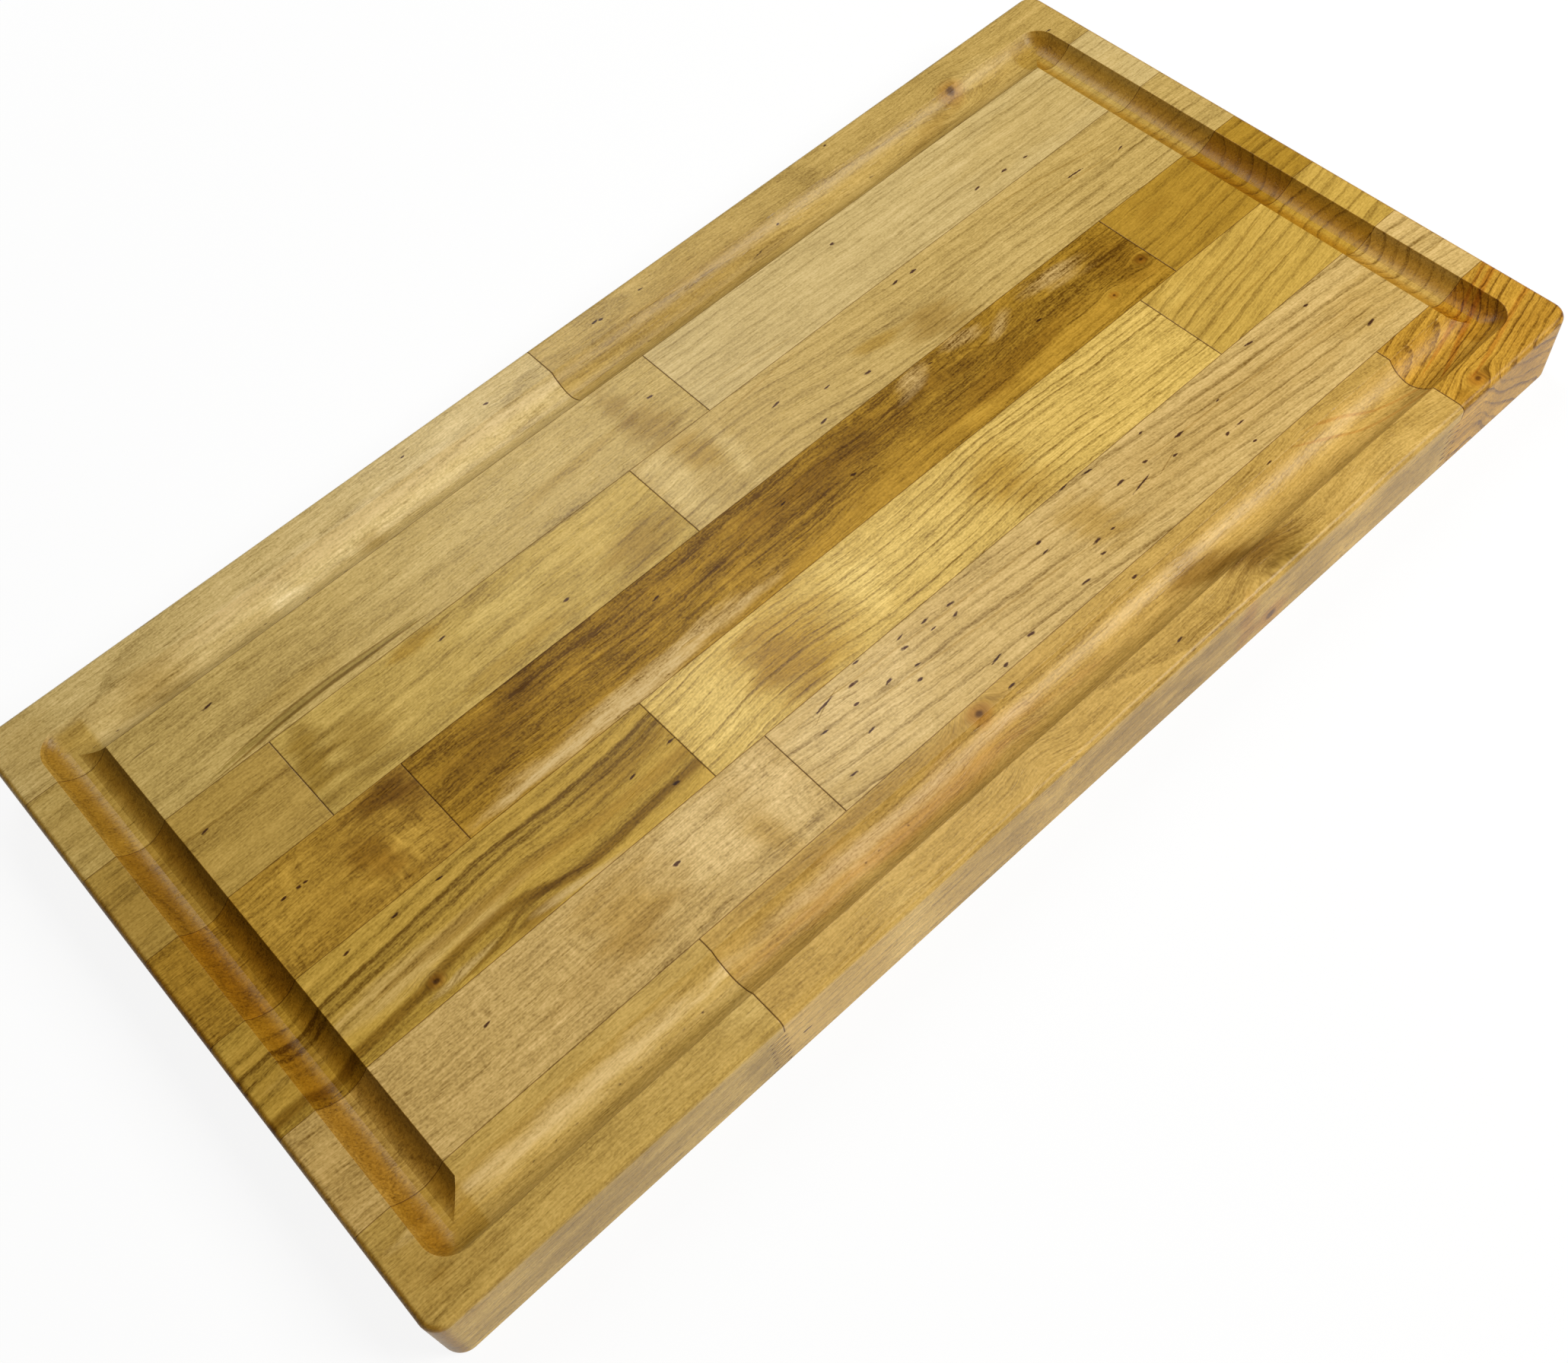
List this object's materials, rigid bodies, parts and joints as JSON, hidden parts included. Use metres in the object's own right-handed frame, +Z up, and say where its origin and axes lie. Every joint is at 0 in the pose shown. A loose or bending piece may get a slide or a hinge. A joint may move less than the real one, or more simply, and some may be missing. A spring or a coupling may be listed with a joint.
{
  "type": "carving board",
  "caption": "Rectangular butcher-block wooden carving board with finger-jointed staves, rounded edges and a juice groove all round.",
  "frame": {"origin": "middle of the flat underside, which rests on the worktop", "axes": "+X along the board to its right end, +Y across it to the back edge, +Z up out of the working surface"},
  "size_m": [0.61, 0.316, 0.038],
  "materials": {
    "pale_birch": "pale sapwood, oiled and sanded smooth, low sheen",
    "golden_birch": "golden-brown wood with fine flecks, oiled, low sheen",
    "cream_birch": "near-white sapwood, oiled, low sheen",
    "tan_birch": "light tan wood, oiled, low sheen",
    "umber_birch": "medium brown wood with soft cross figure, oiled, low sheen",
    "brown_birch": "dark brown streaked heartwood, oiled, low sheen",
    "amber_birch": "even yellow-amber wood, oiled, low sheen",
    "olive_birch": "olive-brown heartwood in curved bands, oiled, low sheen",
    "yellow_birch": "yellow-gold wood with broad growth rings, oiled, low sheen",
    "copper_birch": "reddish copper-brown heartwood, oiled, low sheen"
  },
  "bodies": {
    "root": {"back_edge_stave_1": "pale_birch", "back_edge_stave_2": "golden_birch", "row_b_stave_1": "pale_birch", "row_b_stave_2": "cream_birch", "row_c_stave_1": "tan_birch", "row_c_stave_2": "tan_birch", "row_c_stave_3": "pale_birch", "row_d_stave_1": "umber_birch", "row_d_stave_2": "brown_birch", "row_d_stave_3": "amber_birch", "row_e_stave_1": "olive_birch", "row_e_stave_2": "yellow_birch", "row_e_stave_3": "amber_birch", "row_f_stave_1": "pale_birch", "row_f_stave_2": "cream_birch", "front_edge_stave_1": "pale_birch", "front_edge_stave_2": "copper_birch", "front_edge_stave_3": "golden_birch"}
  },
  "joints": []
}
